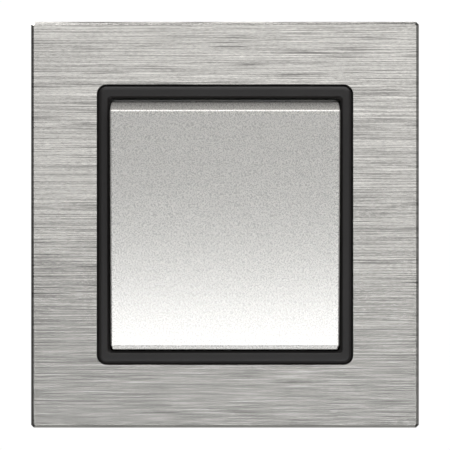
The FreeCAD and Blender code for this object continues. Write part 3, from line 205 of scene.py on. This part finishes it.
def silver_lacquer():
    """Metallic lacquer on plastic: fine flakes under a satin coat."""
    dark_flake, light_flake = (0.50, 0.488, 0.466), (0.63, 0.615, 0.587)
    clouded = (0.60, 0.586, 0.558)
    s = Shader("silver_lacquer").set(Metallic=0.55, Coat_Weight=0.6, Coat_Roughness=0.14)
    grain = s.noise((9500, 9500, 9500), detail=0.0)
    mottle = s.noise((5200, 5200, 5200), detail=0.0, shift=(8.0, 2.0, 4.0))
    cloud = s.noise((90, 90, 90), detail=2.0, shift=(2.0, 5.0, 1.0))
    flakes = s.weighted((grain, 0.75), (mottle, 0.25))
    tone = s.blend(s.spread(flakes, 0.25, 0.75), dark_flake, light_flake)
    s.colour(s.blend(s.spread(cloud, NOISE_LOW, NOISE_HIGH, 0.0, 0.08), tone, clouded))
    s.roughness(mottle, 0.24, 0.32)
    s.bump(flakes, distance=1e-6, strength=0.5)
    return s.material


def moulded_plastic(name, dark, light, rough=(0.42, 0.55), grain=900, depth=6e-6, gloss=0.5):
    """Injection-moulded plastic with a fine eroded texture and slight flow marks."""
    s = Shader(name).set(Specular_IOR_Level=gloss)
    erosion = s.noise((grain, grain, grain), detail=3.0, rough=0.65)
    flow = s.noise((60, 35, 50), detail=2.5, distortion=0.6, shift=(4.0, 1.0, 6.0))
    s.colour(s.blend(s.spread(flow, NOISE_LOW, NOISE_HIGH), dark, light))
    s.roughness(erosion, *rough)
    s.bump(erosion, distance=depth, strength=0.5)
    return s.material


def rolled_metal(name, dark, light, rough, grain_scale):
    """Sheet or wire with a rolling grain and soft staining."""
    s = Shader(name).set(Metallic=1.0)
    grain = s.noise(grain_scale, detail=3.0, rough=0.6)
    stain = s.noise((140, 140, 140), detail=3.0, distortion=0.4, shift=(3.0, 2.0, 8.0))
    tone = s.blend(s.spread(stain, 0.32, 0.68), dark, light)
    s.colour(s.blend(s.spread(grain, 0.35, 0.65, 0.0, 0.22), tone, dark))
    s.roughness(grain, *rough)
    s.bump(grain, distance=3e-6, strength=0.5)
    return s.material


def zinc_plate():
    """Bright zinc plating with faint blue and straw tints in soft patches."""
    bluish, straw, spot = (0.58, 0.595, 0.61), (0.64, 0.63, 0.59), (0.40, 0.40, 0.39)
    s = Shader("bridge_zinc").set(Metallic=1.0)
    grain = s.noise((1600, 1600, 240), detail=3.0, rough=0.6)
    tint = s.noise((70, 70, 70), detail=2.0, distortion=0.8, shift=(6.0, 3.0, 2.0))
    spots = s.noise((700, 700, 700), detail=2.0, shift=(1.0, 9.0, 4.0))
    tone = s.blend(s.spread(tint, NOISE_LOW, NOISE_HIGH), bluish, straw)
    s.colour(s.blend(s.spread(spots, 0.62, 0.72, 0.0, 0.35), tone, spot))
    s.roughness(grain, 0.32, 0.40)
    s.bump(grain, distance=1.5e-6, strength=0.5)
    return s.material


def foam_tape():
    """Closed-cell foam with open pores at its cut edges."""
    s = Shader("foam_tape")
    pores = s.cells((2600, 2600, 2600))
    s.colour(s.blend(s.spread(pores, 0.1, 0.6), (0.05, 0.05, 0.05), (0.16, 0.16, 0.16)))
    s.link(s.spread(pores, 0.0, 0.7, 0.75, 0.95), s.bsdf.inputs["Roughness"])
    s.bump(pores, distance=4e-5, strength=0.8)
    return s.material


MATERIALS = {
    "plate_aluminium": brushed_aluminium(),
    "rocker_silver": silver_lacquer(),
    "tape_grey": foam_tape(),
    "bridge_zinc": zinc_plate(),
}
PLASTICS = {  # slot: dark and light tone, and what differs from the usual moulding
    "ring_anthracite": ((0.0150, 0.0138, 0.0135), (0.0180, 0.0166, 0.0162),
                        dict(rough=(0.36, 0.46), grain=2400, depth=2e-6, gloss=0.27)),
    "carrier_black": ((0.014, 0.014, 0.015), (0.022, 0.022, 0.023), {}),
    "toggle_white": ((0.66, 0.65, 0.61), (0.76, 0.75, 0.72), {}),
    "housing_grey": ((0.44, 0.45, 0.44), (0.53, 0.54, 0.53), dict(grain=700, depth=1.2e-5)),
    "pusher_grey": ((0.10, 0.105, 0.11), (0.14, 0.145, 0.15), {}),
}
METALS = {  # slot: dark and light tone, roughness, scale of the grain
    "screw_steel": ((0.42, 0.42, 0.41), (0.62, 0.61, 0.58), (0.25, 0.38), (1500, 1500, 1500)),
    "spring_steel": ((0.40, 0.40, 0.41), (0.56, 0.56, 0.57), (0.20, 0.32), (300, 2600, 2600)),
    "contact_brass": ((0.52, 0.37, 0.15), (0.76, 0.58, 0.28), (0.25, 0.38), (260, 260, 2600)),
    "plunger_brass": ((0.50, 0.36, 0.15), (0.72, 0.55, 0.27), (0.20, 0.30), (300, 3500, 300)),
    "contact_silver": ((0.66, 0.66, 0.64), (0.86, 0.86, 0.83), (0.22, 0.34), (1800, 1800, 1800)),
}
for name, (dark, light, differences) in PLASTICS.items():
    MATERIALS[name] = moulded_plastic(name, dark, light, **differences)
for name, settings in METALS.items():
    MATERIALS[name] = rolled_metal(name, *settings)

for part in frame["record"]["subparts"]:
    node = NODES[part["node"]]
    node.data.materials.clear()
    node.data.materials.append(MATERIALS[part["material_slot"]])


# ---------------------------------------------------------------- detail pieces
SUNK = 0.05 * MM          # how far a bead reaches into the surface below it
BEAD_STEPS = 64           # facets round a bead
BEAD_ARC = 7              # facets across a bead
WELD = 1e-6               # points of a pusher closer than this are one
GROOVE_PITCH, GROOVE_DEPTH, GROOVE_HALF = 1.1 * MM, 0.35 * MM, 0.3 * MM
EJECTOR_X, EJECTOR_Z = 6 * MM, 13 * MM


def add_piece(name, mesh, body, slot):
    """A finished mesh that rides on a body and takes that slot's material."""
    piece = bpy.data.objects.new(name, mesh)
    SCENE.collection.objects.link(piece)
    mesh.materials.clear()
    mesh.materials.append(MATERIALS[slot])
    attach(piece, body)
    return piece


def finished_mesh(name, build):
    """Turns a bmesh into a mesh and frees it."""
    mesh = bpy.data.meshes.new(name)
    build.to_mesh(mesh)
    build.free()
    return mesh


def moulded_rings(name, centres, radius, half_width, height):
    """Half-round beads about the Y axis on the housing, standing on the surface at each centre."""
    outline = [(half_width * math.cos(math.pi * k / BEAD_ARC),
                height * math.sin(math.pi * k / BEAD_ARC)) for k in range(BEAD_ARC + 1)]
    outline += [(-half_width, -SUNK), (half_width, -SUNK)]
    build = bmesh.new()
    for centre in centres:
        rings = []
        for step in range(BEAD_STEPS):
            turn = 2 * math.pi * step / BEAD_STEPS
            rings.append([build.verts.new((centre.x + (radius + out) * math.cos(turn),
                                           centre.y + up,
                                           centre.z + (radius + out) * math.sin(turn)))
                          for out, up in outline])
        for step in range(BEAD_STEPS):
            this, after = rings[step], rings[(step + 1) % BEAD_STEPS]
            for k in range(len(outline)):
                follow = (k + 1) % len(outline)
                face = build.faces.new((this[k], this[follow], after[follow], after[k]))
                face.smooth = k < BEAD_ARC
    bmesh.ops.recalc_face_normals(build, faces=build.faces)
    add_piece(name, finished_mesh(name, build), "mechanism", "housing_grey")


def groove_cutter(name, low, high):
    """Three wedges across the end of a pusher whose box runs from low to high."""
    build = bmesh.new()
    for middle in (-GROOVE_PITCH, 0, GROOVE_PITCH):
        outside = high.y + GROOVE_DEPTH
        section = ((high.y - GROOVE_DEPTH, middle), (outside, middle - 2 * GROOVE_HALF),
                   (outside, middle + 2 * GROOVE_HALF))
        near, far = ([build.verts.new((x, y, z)) for y, z in section]
                     for x in (low.x - MM, high.x + MM))
        build.faces.new(near)
        build.faces.new(far[::-1])
        for k in range(len(section)):
            follow = (k + 1) % len(section)
            build.faces.new((near[k], far[k], far[follow], near[follow]))
    bmesh.ops.recalc_face_normals(build, faces=build.faces)
    return bpy.data.objects.new(name, finished_mesh(name, build))


def grooved_pusher(side):
    """The release pusher with three finger grooves across its end."""
    node = f"release_pusher_{side}"
    build = bmesh.new()
    build.from_mesh(NODES[node].data)
    bmesh.ops.remove_doubles(build, verts=build.verts, dist=WELD)
    solid = bpy.data.objects.new(f"solid_{side}", finished_mesh(f"grip_{side}", build))
    cutter = groove_cutter(f"cutter_{side}", *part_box(node))
    for helper in (solid, cutter):
        SCENE.collection.objects.link(helper)
    cut = solid.modifiers.new("grooves", "BOOLEAN")
    cut.operation, cut.solver, cut.object = "DIFFERENCE", "EXACT", cutter
    evaluated = solid.evaluated_get(bpy.context.evaluated_depsgraph_get())
    grooved = bpy.data.meshes.new_from_object(evaluated)
    for helper in (solid, cutter):
        bpy.data.objects.remove(helper)
    for face in grooved.polygons:
        face.use_smooth = False
    piece = add_piece(f"finger_pusher_{side}", grooved, node, "pusher_grey")
    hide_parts(node)


housing_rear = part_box("housing_base")[1].y
entries = [Vector((mount["pos_m"][0], housing_rear, mount["pos_m"][2]))
           for mount in frame["record"]["mounts"] if mount["name"].startswith("wire_entry")]
moulded_rings("wire_entry_beads", entries, radius=2.6 * MM, half_width=0.35 * MM, height=0.3 * MM)
ejectors = [Vector((x, housing_rear, z))
            for x in (-EJECTOR_X, EJECTOR_X) for z in (-EJECTOR_Z, EJECTOR_Z)]
moulded_rings("ejector_marks", ejectors, radius=1.6 * MM, half_width=0.14 * MM, height=0.12 * MM)
for side in ("left", "right"):
    grooved_pusher(side)

# the spring rides on the rocker, as its own copy of the mesh
coil = add_piece("compression_coil", NODES["toggle_spring"].data.copy(), "rocker", "spring_steel")
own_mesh(coil)
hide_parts("toggle_spring")


# ---------------------------------------------------------------- camera
PLATE_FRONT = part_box("front_plate")[0].y
VIEW_DISTANCE = 0.5494
VIEW_WIDTH = 0.0952
SENSOR = 36.0
CLIP_START = 0.01
PLATE_ABOVE_CENTRE = 0.06 * MM
LEVEL_ALONG_Y = (math.radians(90), 0, 0)

camera_data = bpy.data.cameras.new("camera")
camera_data.sensor_width = SENSOR
camera_data.lens = SENSOR * VIEW_DISTANCE / VIEW_WIDTH
camera_data.clip_start = CLIP_START
camera = bpy.data.objects.new("camera", camera_data)
camera.location = (0, PLATE_FRONT - VIEW_DISTANCE, -PLATE_ABOVE_CENTRE)
camera.rotation_euler = LEVEL_ALONG_Y
SCENE.collection.objects.link(camera)
SCENE.camera = camera
SCENE.view_settings.view_transform = "Standard"


# ---------------------------------------------------------------- light
AMBIENT, BACKDROP = 0.03, 1.02     # the world's strength as light, and as seen by the camera
SOFTBOXES = (
    # name, azimuth, elevation, distance, size, radiance, colour
    ("front_softbox", 18, 11, 1.9, (2.1, 1.0), 0.87, WHITE),
    ("upper_softbox", 0, 32, 1.6, (2.0, 0.5), 2.6, WHITE),
    ("top_softbox", -20, 75, 1.0, (2.4, 0.52), 3.9, WHITE),
    ("low_card", 0, -25, 0.8, (1.1, 0.25), 4.45, (0.96, 0.98, 1.0)),
    ("left_fill", -85, 0, 0.95, (0.5, 0.9), 0.06, WHITE),
    ("right_fill", 85, 0, 0.95, (0.5, 0.9), 0.19, WHITE),
    ("back_softbox", 158, 42, 0.62, (0.55, 0.42), 3.2, WHITE),
    ("back_low_softbox", 205, -28, 0.62, (0.5, 0.3), 1.0, WHITE),
)


def softbox(name, azimuth, elevation, distance, size, radiance, colour):
    """A rectangular area light that faces the switch, seen from it in that direction.

    The azimuth turns to the right from straight in front and the elevation upwards, in degrees.
    """
    data = bpy.data.lights.new(name, "AREA")
    data.shape = "RECTANGLE"
    data.size, data.size_y = size
    data.energy = radiance * math.pi * size[0] * size[1]
    data.color = colour
    turn, rise = math.radians(azimuth), math.radians(elevation)
    towards = Vector((math.sin(turn) * math.cos(rise), -math.cos(turn) * math.cos(rise),
                      math.sin(rise)))
    lamp = bpy.data.objects.new(name, data)
    lamp.location = towards * distance
    lamp.rotation_euler = towards.to_track_quat("Z", "Y").to_euler()
    SCENE.collection.objects.link(lamp)


for settings in SOFTBOXES:
    softbox(*settings)

world = bpy.data.worlds.new("studio")
SCENE.world = world
world.use_nodes = True
tree = world.node_tree
background = tree.nodes["Background"]
background.inputs["Color"].default_value = (*WHITE, 1)
path = tree.nodes.new("ShaderNodeLightPath")
seen = tree.nodes.new("ShaderNodeMapRange")
seen.inputs["To Min"].default_value = AMBIENT
seen.inputs["To Max"].default_value = BACKDROP
tree.links.new(path.outputs["Is Camera Ray"], seen.inputs["Value"])
tree.links.new(seen.outputs["Result"], background.inputs["Strength"])


# ---------------------------------------------------------------- stage
HALF_FLOOR, FLOOR_Z = 1.4, -1.6
FLOOR_GLOW = 0.62                  # keeps the floor pale where the camera sees it
CORNERS = ((-1, -1), (1, -1), (1, 1), (-1, 1))

floor_mesh = bpy.data.meshes.new("floor")
floor_mesh.from_pydata([(x * HALF_FLOOR, y * HALF_FLOOR, FLOOR_Z) for x, y in CORNERS],
                       [], [(0, 1, 2, 3)])
floor = bpy.data.objects.new("floor", floor_mesh)
SCENE.collection.objects.link(floor)
floor_look = Shader("floor_pale").set(Specular_IOR_Level=0.2, Emission_Color=(*WHITE, 1))
paper = floor_look.noise((30, 30, 30), detail=3.0)
paper_tone = floor_look.spread(paper, NOISE_LOW, NOISE_HIGH)
floor_look.colour(floor_look.blend(paper_tone, (0.80, 0.80, 0.79), (0.84, 0.84, 0.83)))
floor_look.roughness(paper, 0.6, 0.75)
eye = floor_look.new("ShaderNodeLightPath").outputs["Is Camera Ray"]
glow = floor_look.spread(eye, 0.0, 1.0, 0.0, FLOOR_GLOW)
floor_look.link(glow, floor_look.bsdf.inputs["Emission Strength"])
floor.data.materials.append(floor_look.material)
